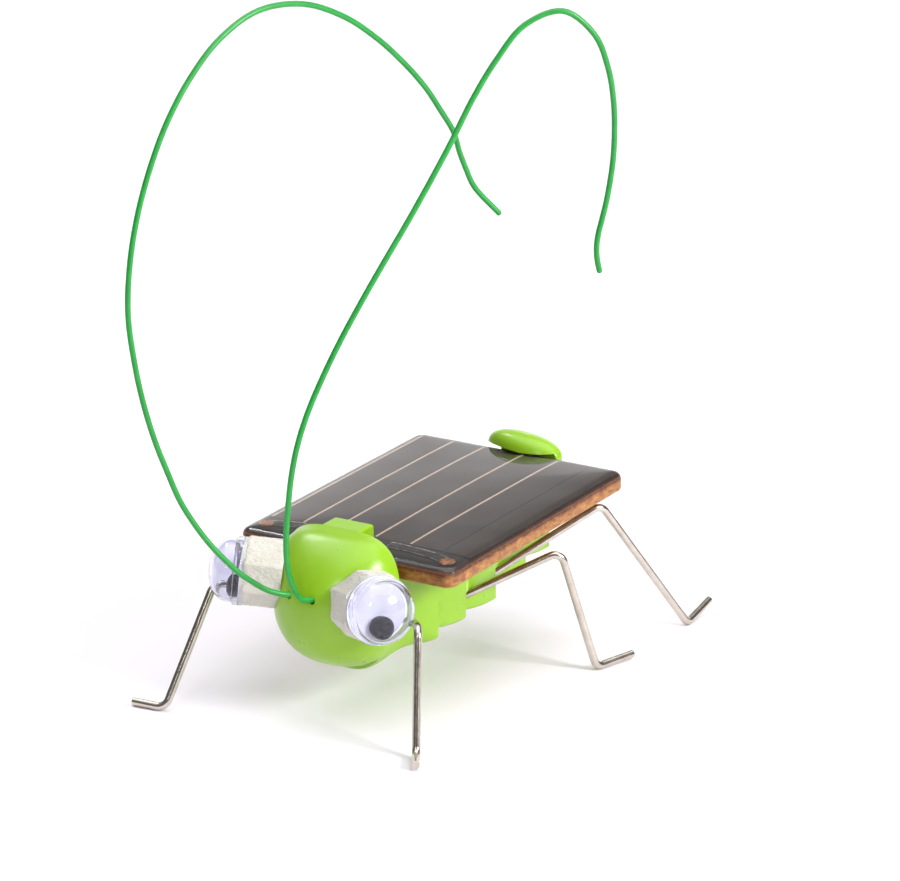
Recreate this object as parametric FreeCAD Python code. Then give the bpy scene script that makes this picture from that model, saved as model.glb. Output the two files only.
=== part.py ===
import FreeCAD, Part
import math
import os
from FreeCAD import Vector

# A solar-powered grasshopper kit. Millimetres, +Z up. The origin is on the ground, under the
# centre of the solar panel. The head points along -Y, and the insect's left side is +X.

# ---- driving dimensions ----------------------------------------------------------------------
PITCH = 2.84                 # degrees that the panel and body rise towards the tail
PANEL_WIDTH = 30.8           # across the body, X
PANEL_SHIFT = 0.05           # the panel sits a little to the insect's left
PANEL_LENGTH = 40.2          # along the body, Y
PANEL_TOP = 20.3             # height of the board's top face above the ground at its centre
BOARD_THICK = 1.8
BOARD_CORNER = 0.8
EPOXY_HIGH = 0.9
EPOXY_INSET = 0.1
EPOXY_EDGE = 0.6
CELL_EDGES = (-14.2, -9.55, -4.95, 0.95, 6.0, 10.9, 14.7)
CELL_GAP = 0.12
CELL_LENGTH = 34.0
CELL_FRONT = -14.9
CELL_THICK = 0.2
LINE_WIDTH = 0.3
LINE_THICK = 0.06
BUS_THICK = 0.3
BUS_WIDE = 1.5
BUS_SPAN = 10.0
BUS_MIDDLE_Y = -17.0         # of the strip's outer end
BUS_TURN = 5.0               # degrees that each strip slants back towards the middle

WALL = 1.2                   # moulded wall of the head and the body
HEAD_Y = -20.8               # plane of the head's rear rim, in the level frame
HEAD_SHIFT = 0.4             # the head sits a little to the insect's left
HEAD_Z = 15.25               # height of the head's middle, in the level frame
HEAD_HALF_WIDTH = 8.25
HEAD_UPPER = 8.75            # height of the rim above the head's middle
HEAD_LOWER = 8.3
HEAD_DEPTH = 9.0
HEAD_CROWN = 3.5             # how square the upper half is: 2 is an ellipse, and more is squarer
HEAD_CHIN = 2.35
HEAD_BULGE = 1.95            # the same, from the rim to the front
TAB_HALF = 2.75
TAB_REAR = -17.4
TAB_TOP = 23.8
TAB_ROOT = 0.6               # how far the tab reaches into the head's wall
BODY_TOP = PANEL_TOP - BOARD_THICK
BODY_FLOOR = 9.9             # inside face of the belly
BELLY_FLAT = 8.6             # flat underside of the third ring
TAIL_CAP_RADII = (5.35, 2.7)
TAIL_CAP_HIGH = 2.3
TAIL_CAP_SQUARE = 2.4        # how square its upright section is: 2 is an ellipse
TAIL_CAP_TILT = -15.0        # degrees that it slopes down to the rear
TAIL_CAP_ROLL = 5.9          # degrees that its left end hangs lower
TAIL_CAP_PLACE = (0.05, 21.1, 0.3)   # middle of its underside, above the board's top face

WIRE = 1.0                   # leg wire diameter
LEG_BEND = 1.3               # radius of a leg's bends, to the middle of the wire
LEG_SOCKET = 3.4             # length of leg wire inside its socket
BOSS = 1.2                   # radius of a leg socket's boss
FIT = 0.03                   # radial clearance of a wire in its socket
FEELER = 0.7                 # feeler wire diameter over its coating
FEELER_STUB = 3.6
FEELER_BOSS = 1.0
ARC_SHARE = 0.45             # share of the shorter run that an arc takes up

MOTOR_Z = 13.4               # height of the motor's axis, in the level frame
MOTOR_RADIUS = 3.0
MOTOR_CAN_WALL = 0.25
MOTOR_FRONT = -5.0
MOTOR_REAR = 6.0
MOTOR_FACE = 0.6
SHAFT_RADIUS = 0.4
SHAFT_FRONT = -9.6
BUSH_RADIUS = 1.0
WEIGHT_RADIUS = 2.4
WEIGHT_LENGTH = 3.2

EYE_CENTRES = {              # middle of each eye's back plate
    "left": (9.45, -26.9, 16.1),
    "right": (-9.45, -26.9, 17.4),
}
EYE_TURN = 30.0              # degrees that each eye turns towards the front
EYE_TILT = 6.0               # degrees that each eye looks up
EYE_RADIUS = 3.85
EYE_WALL = 0.3
EYE_STRAIGHT = 1.6
EYE_DOME = 2.4               # height of the cap's rounded part
EYE_FLANGE = 4.18
EYE_FLANGE_THICK = 0.75
EYE_PLATE = 0.4
PUPIL_RADIUS = 1.3
PUPIL_THICK = 1.65
PUPIL_ROUND = 0.55
PUPIL_GAP = 0.08
FOAM_THICK = 4.4
FOAM_CORNERS = (             # polar corners of the pad: degrees and distance
    (12, 4.5), (58, 4.6), (100, 4.5), (150, 4.7), (196, 4.6), (232, 4.4), (278, 4.3), (325, 4.5),
)
FOAM_SINK = 0.2              # how far the pad follows the head's curve past its nominal face

UP = Vector(0, 0, 1)
ORIGIN = Vector(0, 0, 0)


# ---- helpers ---------------------------------------------------------------------------------
def box(x0, x1, y0, y1, z0, z1):
    return Part.makeBox(x1 - x0, y1 - y0, z1 - z0, Vector(x0, y0, z0))


def rod(start, direction, length, radius):
    return Part.makeCylinder(radius, length, start, direction)


def unit(vector):
    return vector * (1.0 / vector.Length)


def pitched(shape):
    """Turn a shape from the level frame of the body into its place on the ground frame."""
    turned = shape.copy()
    turned.rotate(Vector(0, 0, PANEL_TOP), Vector(1, 0, 0), PITCH)
    return turned


def mirrored(shape):
    """The same piece on the insect's right side."""
    return shape.mirror(ORIGIN, Vector(1, 0, 0))


def rounded_plate(half_x, half_y, bottom, top, corner):
    plate = box(-half_x, half_x, -half_y, half_y, bottom, top)
    upright = [edge for edge in plate.Edges if abs(edge.tangentAt(edge.FirstParameter).z) > 0.99]
    return plate.makeFillet(corner, upright)


def tangent_path(points, radius=None):
    """Straight runs joined by arcs. Without a radius each arc is as large as its runs allow."""
    edges = []
    radii = []
    here = points[0]
    for before, corner, after in zip(points, points[1:], points[2:]):
        back = unit(before - corner)
        ahead = unit(after - corner)
        half_turn = (math.pi - back.getAngle(ahead)) / 2
        shorter = min((before - corner).Length, (after - corner).Length)
        bend = radius or ARC_SHARE * shorter / math.tan(half_turn)
        reach = bend * math.tan(half_turn)
        start = corner + back * reach
        end = corner + ahead * reach
        middle = corner + unit(back + ahead) * (bend / math.cos(half_turn) - bend)
        edges.append(Part.LineSegment(here, start).toShape())
        edges.append(Part.Arc(start, middle, end).toShape())
        radii.append(bend)
        here = end
    edges.append(Part.LineSegment(here, points[-1]).toShape())
    return Part.Wire(edges), radii


def tube_along(path, start, direction, radius):
    """A round wire along a path, and its volume against section times length."""
    section = Part.Wire(Part.Circle(start, direction, radius).toShape())
    solid = path.makePipeShell([section], True, False)
    share = solid.Volume / (math.pi * radius ** 2 * path.Length)
    return solid, share


def write(name, shape):
    shape.exportStep(os.path.join("parts", name + ".step"))
    box_ = shape.BoundBox
    print("%-22s solids %2d valid %s volume %9.3f  x %6.2f..%6.2f y %6.2f..%6.2f z %6.2f..%6.2f" % (
        name, len(shape.Solids), shape.isValid(), shape.Volume,
        box_.XMin, box_.XMax, box_.YMin, box_.YMax, box_.ZMin, box_.ZMax))


# ---- solar panel -----------------------------------------------------------------------------
def panel_pieces():
    half_x = PANEL_WIDTH / 2
    half_y = PANEL_LENGTH / 2
    board = rounded_plate(half_x, half_y, PANEL_TOP - BOARD_THICK, PANEL_TOP, BOARD_CORNER)

    epoxy = rounded_plate(half_x - EPOXY_INSET, half_y - EPOXY_INSET, PANEL_TOP,
                          PANEL_TOP + EPOXY_HIGH, BOARD_CORNER - EPOXY_INSET)
    top_edges = [edge for edge in epoxy.Edges if edge.BoundBox.ZMin > PANEL_TOP + EPOXY_HIGH - 0.01]
    epoxy = epoxy.makeFillet(EPOXY_EDGE, top_edges)

    cell_top = PANEL_TOP + CELL_THICK
    cell_rear = CELL_FRONT + CELL_LENGTH
    cells = Part.makeCompound([
        box(left, right - CELL_GAP, CELL_FRONT, cell_rear, PANEL_TOP, cell_top)
        for left, right in zip(CELL_EDGES, CELL_EDGES[1:])])
    lines = Part.makeCompound([
        box(left, left + LINE_WIDTH, CELL_FRONT + 0.3, cell_rear - 0.1, cell_top, cell_top + LINE_THICK)
        for left in CELL_EDGES[:-2]])

    outer_x = half_x - 2.0
    bus = box(outer_x - BUS_SPAN, outer_x, BUS_MIDDLE_Y - BUS_WIDE / 2, BUS_MIDDLE_Y + BUS_WIDE / 2,
              PANEL_TOP, PANEL_TOP + BUS_THICK)
    bus.rotate(Vector(outer_x, BUS_MIDDLE_Y, 0), UP, -BUS_TURN)
    joint = Part.makeCylinder(0.9, BUS_THICK, Vector(outer_x + 0.2, BUS_MIDDLE_Y, PANEL_TOP))
    joint = joint.cut(bus)

    epoxy = epoxy.cut(cells).cut(lines)
    for piece in (bus, joint, mirrored(bus), mirrored(joint)):
        epoxy = epoxy.cut(piece)
    pieces = {
        "panel_board": board,
        "solar_cells": cells,
        "cell_contact_lines": lines,
        "bus_strip_left": bus,
        "bus_strip_right": mirrored(bus),
        "bus_solder_left": joint,
        "bus_solder_right": mirrored(joint),
        "epoxy_cover": epoxy,
    }
    for piece in pieces.values():
        piece.translate(Vector(PANEL_SHIFT, 0, 0))
    return pieces


# ---- body ------------------------------------------------------------------------------------
def body_section(y, half_width, bottom, corner):
    """Outline across the body at one Y: flat top, upright sides, rounded lower corners."""
    top = BODY_TOP
    side = bottom + corner
    slant = corner * (1 - math.sqrt(0.5))
    inner = half_width - corner

    def point(x, z):
        return Vector(x, y, z)

    edges = [
        Part.LineSegment(point(-half_width, top), point(half_width, top)),
        Part.LineSegment(point(half_width, top), point(half_width, side)),
        Part.Arc(point(half_width, side), point(half_width - slant, bottom + slant), point(inner, bottom)),
        Part.LineSegment(point(inner, bottom), point(-inner, bottom)),
        Part.Arc(point(-inner, bottom), point(-half_width + slant, bottom + slant),
                 point(-half_width, side)),
        Part.LineSegment(point(-half_width, side), point(-half_width, top)),
    ]
    return Part.Wire([edge.toShape() for edge in edges])


def body_segment(y_front, y_rear, narrow, wide, bottom_front, bottom_rear, corner):
    """One ring of the body: it swells from a narrow front to a wide rear edge."""
    sections = []
    steps = 4
    for step in range(steps + 1):
        share = step / steps
        swell = math.sin(share * math.pi / 2)
        sections.append(body_section(
            y_front + (y_rear - y_front) * share,
            narrow + (wide - narrow) * swell,
            bottom_front + (bottom_rear - bottom_front) * swell,
            corner))
    return Part.makeLoft(sections, True, False)


def throat():
    """The first ring, which dips to a chin behind the head and then rises."""
    sections = [
        body_section(HEAD_Y, 6.4, 6.05, 5.5),
        body_section(-19.3, 6.5, 5.95, 5.3),
        body_section(-17.4, 7.2, 7.2, 4.2),
        body_section(-15.2, 8.2, 8.1, 2.6),
        body_section(-13.1, 8.8, 8.3, 1.2),
    ]
    return Part.makeLoft(sections, True, False)


def body_outside():
    rings = [
        body_segment(-13.1, -6.3, 7.3, 8.35, 9.4, 8.65, 0.7),
        body_segment(-6.3, 1.7, 6.9, 7.65, 9.3, 8.4, 0.5),
        body_segment(1.7, 9.9, 6.2, 6.9, 9.8, 9.2, 0.5),
        body_segment(9.9, 16.6, 5.5, 6.2, 10.6, 10.0, 0.5),
        body_segment(16.6, 20.25, 4.0, 4.8, 11.6, 11.2, 0.5),
    ]
    outside = throat()
    for ring in rings:
        outside = outside.fuse(ring)
    below_belly_flat = box(-9, 9, -6.3, 1.7, 0, BELLY_FLAT)
    return outside.cut(below_belly_flat).removeSplitter()


def tail_cap():
    """The oval domed cap that reaches over the panel's rear edge, clear of the epoxy."""
    sections = []
    for share in (0, 0.2, 0.4, 0.58, 0.73, 0.85, 0.93, 0.98):
        size = (1 - share ** TAIL_CAP_SQUARE) ** (1 / TAIL_CAP_SQUARE)
        middle = UP * (TAIL_CAP_HIGH * share)
        oval = Part.Ellipse(middle, TAIL_CAP_RADII[0] * size, TAIL_CAP_RADII[1] * size)
        sections.append(Part.Wire(oval.toShape()))
    cap = Part.makeLoft(sections, True, False)
    cap.rotate(ORIGIN, Vector(0, 1, 0), TAIL_CAP_ROLL)
    cap.rotate(ORIGIN, Vector(1, 0, 0), TAIL_CAP_TILT)
    cap.translate(Vector(*TAIL_CAP_PLACE) + UP * PANEL_TOP)
    panel_room = box(-9, 9, 0, PANEL_LENGTH / 2 + 0.2, 0, PANEL_TOP + EPOXY_HIGH + 0.03)
    return cap.cut(panel_room)


def tail_post():
    """The upright behind the panel that carries the oval cap."""
    post = box(-3.0, 3.0, PANEL_LENGTH / 2 + 0.2, PANEL_LENGTH / 2 + 2.3, 13.0, PANEL_TOP + 0.9)
    foot = box(-3.0, 3.0, 18.0, PANEL_LENGTH / 2 + 2.3, 12.0, BODY_TOP)
    return post.fuse(foot)


def head_section(y, size, shrink):
    """A rounded-square outline across the head at one Y, squarer above than below."""
    points = []
    for step in range(48):
        angle = math.radians(step * 7.5)
        across = math.cos(angle)
        height = math.sin(angle)
        square, half_height = (HEAD_CROWN, HEAD_UPPER) if height > 0 else (HEAD_CHIN, HEAD_LOWER)
        square = 2 + (square - 2) * size ** 2
        reach = size * (abs(across) ** square + abs(height) ** square) ** (-1 / square)
        points.append(Vector(HEAD_SHIFT + (HEAD_HALF_WIDTH - shrink) * reach * across, y,
                             HEAD_Z + (half_height - shrink) * reach * height))
    curve = Part.BSplineCurve()
    curve.interpolate(Points=points, PeriodicFlag=True)
    return Part.Wire(curve.toShape())


def head_solid(shrink):
    """The head's bulging volume in front of its rim plane, with every face moved in by shrink."""
    sections = []
    power = 2 / HEAD_BULGE
    for angle in (0, 12, 25, 38, 50, 62, 72, 80, 85, 88.5):
        size = math.cos(math.radians(angle)) ** power
        ahead = math.sin(math.radians(angle)) ** power
        sections.append(head_section(HEAD_Y - ahead * (HEAD_DEPTH - shrink), size, shrink))
    return Part.makeLoft(sections, True, False)


def head_shell():
    """A hollow half-ellipsoid, open behind, with a tab over the panel's front edge."""
    tab_bottom = PANEL_TOP + EPOXY_HIGH + 0.15
    tab = box(-TAB_HALF, TAB_HALF, HEAD_Y - TAB_ROOT, TAB_REAR, tab_bottom, TAB_TOP)
    rear_top = [edge for edge in tab.Edges
                if edge.BoundBox.ZMin > TAB_TOP - 0.01 and edge.BoundBox.YMax > HEAD_Y]
    tab = tab.makeFillet(0.35, rear_top)
    inside = head_solid(WALL)
    return head_solid(0.0).fuse(tab).cut(inside).removeSplitter()


# ---- legs and feelers ------------------------------------------------------------------------
# Middle of the wire where it leaves the body's side and at the knee.
LEG_TOPS = {
    "front": [(8.0, -17.6, 11.95), (14.7, -26.1, 14.6)],
    "middle": [(7.0, -3.4, 10.8), (15.8, 4.1, 15.8)],
    "rear": [(6.5, 4.5, 11.6), (14.5, 15.7, 18.4)],
}

# Middle of the wire at the ground bend and at the foot's tip, with X outwards on either side.
LEG_FEET = {
    "front_left": [(17.2, -30.4, 0.5), (19.4, -33.9, 0.9)],
    "front_right": [(17.0, -33.3, 0.5), (21.4, -33.8, 0.6)],
    "middle_left": [(19.1, 7.3, 0.5), (20.6, 13.4, 0.7)],
    "middle_right": [(19.1, 7.3, 0.5), (20.6, 13.4, 0.7)],
    "rear_left": [(20.1, 27.9, 0.5), (19.4, 34.6, 1.5)],
    "rear_right": [(20.1, 27.9, 0.5), (19.4, 34.6, 1.5)],
}

# Control points of the two feelers, from the head outwards.
FEELER_ROUTES = {
    "left": [(1.7, -28.9, 16.3), (1.8, -30.6, 16.1), (0.5, -32.5, 19.5), (0.5, -33.0, 27.5),
             (1.5, -31.0, 38.5), (5.5, -27.0, 50.0), (9.0, -21.0, 60.0), (12.5, -15.0, 71.0),
             (14.5, -10.5, 79.5), (19.5, -4.5, 86.5), (24.0, 0.0, 81.5), (25.0, 1.5, 71.0),
             (24.0, 0.5, 61.5), (23.0, -0.5, 57.0), (23.5, 0.0, 53.5)],
    "right": [(-1.7, -28.9, 16.3), (-2.4, -31.2, 16.9), (-6.0, -34.5, 20.5), (-10.5, -38.5, 28.0),
              (-13.5, -41.0, 40.5), (-16.0, -41.5, 52.5), (-15.5, -39.0, 64.5),
              (-14.0, -34.5, 75.0), (-11.5, -27.0, 84.0), (-7.5, -15.5, 86.0), (-3.0, -4.0, 78.0),
              (-0.5, 4.0, 68.5), (0.0, 7.5, 59.5), (2.5, 10.5, 55.0)],
}


def leg_axis(name):
    """Where the wire leaves the body's left side, and its direction out of the body."""
    exit_point, knee = [Vector(*point) for point in LEG_TOPS[name]]
    return exit_point, unit(knee - exit_point)


def grounded(points):
    """Lift the ground bend and the foot so that the wire's lowest line touches the ground."""
    path, _ = tangent_path(points, LEG_BEND)
    lowest = min(point.z for point in path.discretize(500))
    lift = UP * (WIRE / 2 - lowest)
    return points[:2] + [point + lift for point in points[2:]]


def leg(name, side):
    """One leg as it lies on the left side; a right leg is mirrored afterwards."""
    exit_point, outward = leg_axis(name)
    route = LEG_TOPS[name] + LEG_FEET[name + "_" + side]
    points = grounded([Vector(*point) for point in route])
    start = exit_point - outward * LEG_SOCKET
    path, _ = tangent_path([start] + points[1:], LEG_BEND)
    wire, share = tube_along(path, start, outward, WIRE / 2)
    print("leg %-7s %-6s length %6.2f volume share %.4f" % (name, side, path.Length, share))
    return wire if side == "left" else mirrored(wire)


def feeler_axis(side):
    points = [Vector(*point) for point in FEELER_ROUTES[side]]
    return points[0], unit(points[1] - points[0])


def feeler(side):
    exit_point, outward = feeler_axis(side)
    points = [Vector(*point) for point in FEELER_ROUTES[side]]
    start = exit_point - outward * FEELER_STUB
    path, radii = tangent_path([start] + points[1:])
    wire, share = tube_along(path, start, outward, FEELER / 2)
    tip_ball = Part.makeSphere(FEELER / 2, points[-1])
    print("feeler %-6s length %6.2f volume share %.4f radii %s" % (
        side, path.Length, share, " ".join("%.1f" % radius for radius in radii)))
    return wire.fuse(tip_ball).removeSplitter()


# ---- motor -----------------------------------------------------------------------------------
BACK = Vector(0, 1, 0)


def along_motor(y0, y1, radius):
    return rod(Vector(0, y0, MOTOR_Z), BACK, y1 - y0, radius)


def motor_pieces():
    cap_front = MOTOR_REAR - 1.0
    bush_rear = 2.2
    bore = along_motor(SHAFT_FRONT - 1, MOTOR_REAR + 1, SHAFT_RADIUS + 0.02)

    can = along_motor(MOTOR_FRONT, MOTOR_REAR, MOTOR_RADIUS)
    can = can.cut(along_motor(MOTOR_FRONT + MOTOR_FACE, MOTOR_REAR + 1, MOTOR_RADIUS - MOTOR_CAN_WALL))
    can = can.cut(along_motor(MOTOR_FRONT - 1, MOTOR_FRONT + 2, BUSH_RADIUS))
    bush = along_motor(MOTOR_FRONT - 0.35, bush_rear, BUSH_RADIUS).cut(bore)
    magnet = along_motor(MOTOR_FRONT + MOTOR_FACE, bush_rear - 0.3, 1.85)
    magnet = magnet.cut(along_motor(MOTOR_FRONT, bush_rear, BUSH_RADIUS))

    coil_front = MOTOR_FRONT + MOTOR_FACE + 0.3
    coil = along_motor(coil_front, 3.2, 2.45).cut(along_motor(coil_front - 1, 2.6, 2.05))
    coil = coil.fuse(along_motor(2.5, cap_front - 0.1, 0.8))
    coil = coil.cut(along_motor(coil_front - 1, cap_front + 1, SHAFT_RADIUS))

    cap = along_motor(cap_front, MOTOR_REAR, MOTOR_RADIUS - MOTOR_CAN_WALL)
    cap = cap.cut(along_motor(cap_front - 1, cap_front + 0.7, SHAFT_RADIUS + 0.02))
    brush = box(0.83, 0.98, -0.45, 0.45, 0, cap_front - 3.5)
    brush.rotate(ORIGIN, Vector(1, 0, 0), -90)
    brush.translate(Vector(0, 3.5, MOTOR_Z))
    brushes = Part.makeCompound([brush, mirrored(brush)])

    shaft = along_motor(SHAFT_FRONT, cap_front + 0.6, SHAFT_RADIUS)
    weight_front = SHAFT_FRONT + 0.2
    weight = along_motor(weight_front, weight_front + WEIGHT_LENGTH, WEIGHT_RADIUS)
    upper = box(-5, 5, weight_front - 1, weight_front + WEIGHT_LENGTH + 1, MOTOR_Z + 0.55, MOTOR_Z + 5)
    weight = weight.cut(upper)
    hub = along_motor(weight_front, weight_front + WEIGHT_LENGTH, 0.95)
    weight = weight.fuse(hub).removeSplitter()
    weight = weight.cut(along_motor(SHAFT_FRONT - 1, MOTOR_FRONT, SHAFT_RADIUS))
    return {
        "motor_can": can,
        "motor_bush": bush,
        "motor_magnet": magnet,
        "motor_coil": coil,
        "motor_end_cap": cap,
        "motor_brushes": brushes,
        "motor_shaft": shaft,
        "eccentric_weight": weight,
    }


def motor_cradle():
    """Two ribs on the belly that hold the lower half of the motor can."""
    ribs = []
    for y in (MOTOR_FRONT + 0.8, MOTOR_REAR - 3.0):
        ribs.append(box(-3.7, 3.7, y, y + 1.6, BODY_FLOOR - 0.6, MOTOR_Z - 0.4))
    seat = along_motor(MOTOR_FRONT - 1, MOTOR_REAR + 1, MOTOR_RADIUS)
    return [rib.cut(seat) for rib in ribs]


def lead(side):
    """One motor lead, from the end cap up to its joint under the panel board."""
    x = 1.2 * side
    start = Vector(x, MOTOR_REAR, MOTOR_Z + 1.2)
    points = [start, Vector(x, MOTOR_REAR + 3.4, MOTOR_Z + 1.2),
              Vector(2.4 * side, MOTOR_REAR + 4.6, MOTOR_Z + 3.4),
              Vector(2.4 * side, MOTOR_REAR + 4.6, BODY_TOP - 0.5)]
    path, _ = tangent_path(points)
    wire, share = tube_along(path, start, BACK, 0.3)
    print("lead %+d length %.2f volume share %.4f" % (side, path.Length, share))
    blob = Part.makeSphere(0.7, Vector(2.4 * side, MOTOR_REAR + 4.6, BODY_TOP))
    blob = blob.common(box(-9, 9, 0, 20, 0, BODY_TOP)).cut(wire)
    return wire, blob


# ---- eyes ------------------------------------------------------------------------------------
def turned_ellipse_cap(radius, height, base):
    """A round cap of one radius whose top is half an ellipse of the given height."""
    long_end = Vector(radius, 0, 0)
    curve = Part.Ellipse(long_end, Vector(0, height, 0), ORIGIN)
    quarter = Part.ArcOfEllipse(curve, 0, math.pi / 2)
    profile = Part.Wire([
        quarter.toShape(),
        Part.LineSegment(quarter.EndPoint, ORIGIN).toShape(),
        Part.LineSegment(ORIGIN, quarter.StartPoint).toShape()])
    profile.rotate(ORIGIN, Vector(1, 0, 0), 90)
    cap = Part.Face(profile).revolve(ORIGIN, UP, 360)
    cap.translate(UP * base)
    return cap


def eye_pieces():
    """Pad, back plate, clear cap and loose pupil, built about +Z with the ground towards -Y."""
    plate = Part.makeCylinder(EYE_FLANGE - 0.05, EYE_PLATE)
    flange = rod(UP * EYE_PLATE, UP, EYE_FLANGE_THICK, EYE_FLANGE)
    straight = rod(UP * EYE_PLATE, UP, EYE_STRAIGHT, EYE_RADIUS)
    dome_base = EYE_PLATE + EYE_STRAIGHT
    cap = straight.fuse(turned_ellipse_cap(EYE_RADIUS, EYE_DOME, dome_base)).fuse(flange)
    room_radius = EYE_RADIUS - EYE_WALL
    room = rod(UP * EYE_PLATE, UP, EYE_STRAIGHT, room_radius)
    room = room.fuse(turned_ellipse_cap(room_radius, EYE_DOME - EYE_WALL, dome_base))
    cap = cap.cut(room).removeSplitter()

    pupil = Part.makeCylinder(PUPIL_RADIUS, PUPIL_THICK)
    front = [edge for edge in pupil.Edges if edge.BoundBox.ZMin > PUPIL_THICK - 0.01]
    pupil = pupil.makeFillet(PUPIL_ROUND, front)
    drop = room_radius - PUPIL_RADIUS - PUPIL_GAP
    pupil.translate(Vector(0, -drop, EYE_PLATE + PUPIL_GAP))

    corners = []
    for degrees, reach in FOAM_CORNERS:
        angle = math.radians(degrees)
        corners.append(Vector(reach * math.cos(angle), reach * math.sin(angle), 0))
    outline = Part.makePolygon(corners + [corners[0]])
    pad = Part.Face(outline).extrude(Vector(0, 0, -FOAM_THICK - FOAM_SINK))
    return {"foam_pad": pad, "eye_back": plate, "eye_dome": cap, "pupil": pupil}


def placed_eye(side):
    """One eye's pieces in their place on the head."""
    outward = FreeCAD.Rotation(Vector(0, 1, 0), 90)
    stand = FreeCAD.Rotation(Vector(1, 0, 0), 90)
    tilt = FreeCAD.Rotation(Vector(0, 1, 0), -EYE_TILT)
    turn = FreeCAD.Rotation(UP, -EYE_TURN)
    facing = turn.multiply(tilt).multiply(stand).multiply(outward)
    place = FreeCAD.Placement(ORIGIN, facing).toMatrix()
    placed = {}
    for name, shape in eye_pieces().items():
        moved = shape.copy()
        moved.transformShape(place)
        if side == "right":
            moved = mirrored(moved)
        moved.translate(Vector(*EYE_CENTRES[side]))
        placed[name] = moved
    placed["foam_pad"] = placed["foam_pad"].cut(pitched(head_solid(0.0)))
    return placed


def main():
    os.makedirs("parts", exist_ok=True)
    nodes = {}

    for name, shape in panel_pieces().items():
        nodes[name] = pitched(shape)

    body = body_outside()
    bosses_inside = body.copy()
    hollow_widths = [(HEAD_Y - 1, 4.9), (-16.0, 6.0), (-12.3, 5.9), (2.0, 5.2), (16.0, 4.4)]
    outline = [Vector(width, y, 0) for y, width in hollow_widths]
    outline += [Vector(-width, y, 0) for y, width in reversed(hollow_widths)]
    floor_plan = Part.Face(Part.makePolygon(outline + [outline[0]]))
    floor_plan.translate(Vector(0, 0, BODY_FLOOR))
    hollow = floor_plan.extrude(Vector(0, 0, BODY_TOP - BODY_FLOOR + 1))
    body = body.cut(hollow).fuse(tail_post()).fuse(tail_cap())
    for rib in motor_cradle():
        body = body.fuse(rib)
    body = pitched(body.removeSplitter())
    trim = pitched(bosses_inside)
    for name in LEG_TOPS:
        exit_point, outward = leg_axis(name)
        inner = exit_point - outward * (LEG_SOCKET + 0.9)
        boss = rod(inner, outward, LEG_SOCKET + 4.0, BOSS).common(trim)
        body = body.fuse(boss).fuse(mirrored(boss))
    for name in LEG_TOPS:
        exit_point, outward = leg_axis(name)
        bore = rod(exit_point - outward * (LEG_SOCKET + 0.1), outward, LEG_SOCKET + 4.1, WIRE / 2 + FIT)
        body = body.cut(bore).cut(mirrored(bore))
    nodes["body_shell"] = body.removeSplitter()

    head = pitched(head_shell())
    head_room = pitched(head_solid(0.0))
    for side in FEELER_ROUTES:
        exit_point, outward = feeler_axis(side)
        boss = rod(exit_point - outward * (FEELER_STUB + 0.6), outward, FEELER_STUB + 3, FEELER_BOSS)
        head = head.fuse(boss.common(head_room))
    for side in FEELER_ROUTES:
        exit_point, outward = feeler_axis(side)
        bore = rod(exit_point - outward * (FEELER_STUB + 0.1), outward, FEELER_STUB + 3,
                   FEELER / 2 + FIT)
        head = head.cut(bore)
    nodes["head_shell"] = head.removeSplitter()

    for name, shape in motor_pieces().items():
        nodes[name] = pitched(shape)
    red, red_joint = lead(1)
    black, black_joint = lead(-1)
    nodes["lead_wire_red"] = pitched(red)
    nodes["lead_wire_black"] = pitched(black)
    nodes["lead_solder_joints"] = pitched(Part.makeCompound([red_joint, black_joint]))

    for side in EYE_CENTRES:
        for name, shape in placed_eye(side).items():
            nodes[name + "_" + side] = shape

    for name in LEG_TOPS:
        for side in ("left", "right"):
            nodes["leg_" + name + "_" + side] = leg(name, side)
    for side in FEELER_ROUTES:
        nodes["feeler_" + side] = feeler(side)

    for name, shape in nodes.items():
        write(name, shape)


main()
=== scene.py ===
import math

import bmesh
import bpy
from mathutils import Matrix, Vector, noise
from mathutils.bvhtree import BVHTree


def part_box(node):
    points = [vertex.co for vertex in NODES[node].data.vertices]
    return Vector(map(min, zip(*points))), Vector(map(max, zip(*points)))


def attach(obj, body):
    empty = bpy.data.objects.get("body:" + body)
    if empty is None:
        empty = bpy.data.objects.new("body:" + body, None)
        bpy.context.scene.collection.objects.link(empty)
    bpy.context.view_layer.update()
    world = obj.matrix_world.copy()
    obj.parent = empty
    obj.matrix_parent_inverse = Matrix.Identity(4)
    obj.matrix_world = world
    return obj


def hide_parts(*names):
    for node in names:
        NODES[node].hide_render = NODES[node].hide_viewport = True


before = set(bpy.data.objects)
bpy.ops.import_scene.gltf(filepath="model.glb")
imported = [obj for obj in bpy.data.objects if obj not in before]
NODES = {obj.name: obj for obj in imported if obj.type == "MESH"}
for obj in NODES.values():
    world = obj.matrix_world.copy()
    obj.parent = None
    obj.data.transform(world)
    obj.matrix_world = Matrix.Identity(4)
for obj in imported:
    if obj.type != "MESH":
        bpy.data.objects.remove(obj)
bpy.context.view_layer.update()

# Lengths below are in millimetres, and add_piece turns them into metres.
MM = 0.001
TAU = 2 * math.pi

# The level frame: the panel and body are level there, and rise towards the tail on the ground.
PITCH = math.radians(2.84)
PANEL_TOP = 20.3
PANEL_SHIFT = 0.05
BOARD_HALF_X = 15.4
BOARD_HALF_Y = 20.1
BOARD_THICK = 1.8
BOARD_CORNER = 1.4
LEVEL = (Matrix.Translation((PANEL_SHIFT, 0, PANEL_TOP)) @ Matrix.Rotation(PITCH, 4, "X"))

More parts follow.
